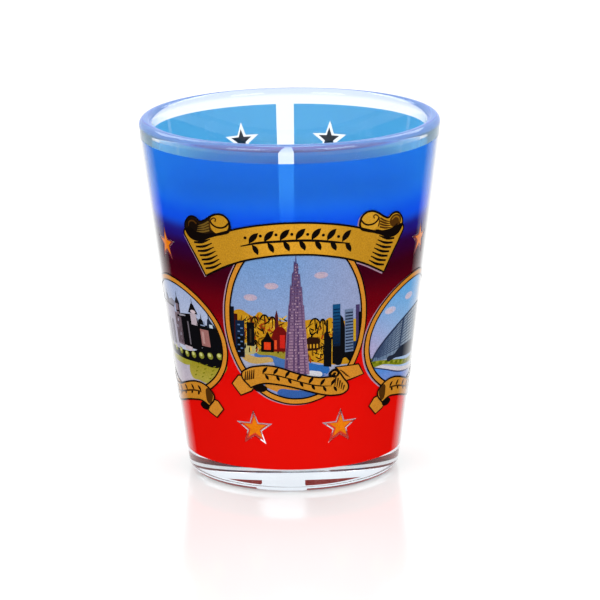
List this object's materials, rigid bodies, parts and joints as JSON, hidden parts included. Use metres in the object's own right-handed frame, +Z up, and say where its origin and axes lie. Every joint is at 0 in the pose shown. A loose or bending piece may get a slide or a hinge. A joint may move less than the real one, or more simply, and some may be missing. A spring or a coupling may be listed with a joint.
{
  "type": "souvenir shot glass",
  "caption": "Tapered shot glass with a heavy clear base and a blended blue-to-red printed wrap of gold-framed oval travel pictures, ribbons, an arched banner and stars.",
  "frame": {"origin": "centre of the foot, on the surface that the glass stands on", "axes": "+Z up along the glass's axis, -Y towards the middle of the print, +X to its right"},
  "size_m": [0.05, 0.05, 0.06],
  "materials": {
    "clear_glass": "clear pressed soda-lime glass, fire-polished lip, faint cool tint where it is thick",
    "background_ink": "glossy translucent blended print: bright blue at the top, through dark purple and maroon, to bright red at the bottom",
    "gold_ink": "glossy ochre-gold print with black key lines",
    "star_gold_ink": "glossy gold print inside a bare window",
    "black_ink": "glossy black brushed line work",
    "picture_ink": "glossy printed picture, pale blue sky over a coloured scene",
    "tower_ink": "glossy mauve print with dark window lines",
    "skyline_ink": "glossy black and dark blue print with lit windows",
    "palace_ink": "glossy dark grey and pink print",
    "hall_ink": "glossy slate-blue print with window lines"
  },
  "bodies": {
    "root": {"glass_body": "clear_glass", "background_print": "background_ink", "banner_band": "gold_ink", "banner_left_curl": "gold_ink", "banner_right_curl": "gold_ink", "banner_hatching": "black_ink", "banner_leaf_spray": "black_ink", "main_picture": "picture_ink", "main_tower": "tower_ink", "main_skyline": "skyline_ink", "main_frame": "gold_ink", "main_ribbon": "gold_ink", "main_ribbon_tails": "gold_ink", "main_ribbon_marks": "black_ink", "left_picture": "picture_ink", "left_palace": "palace_ink", "left_frame": "gold_ink", "left_ribbon": "gold_ink", "left_ribbon_tails": "gold_ink", "right_picture": "picture_ink", "right_hall": "hall_ink", "right_frame": "gold_ink", "right_ribbon": "gold_ink", "right_ribbon_tails": "gold_ink", "back_left_picture": "picture_ink", "back_left_frame": "gold_ink", "back_left_ribbon": "gold_ink", "back_left_ribbon_tails": "gold_ink", "back_right_picture": "picture_ink", "back_right_frame": "gold_ink", "back_right_ribbon": "gold_ink", "back_right_ribbon_tails": "gold_ink", "front_left_star": "star_gold_ink", "front_right_star": "star_gold_ink", "side_left_star": "star_gold_ink", "side_right_star": "star_gold_ink", "back_left_star": "star_gold_ink", "back_right_star": "star_gold_ink"}
  },
  "joints": []
}
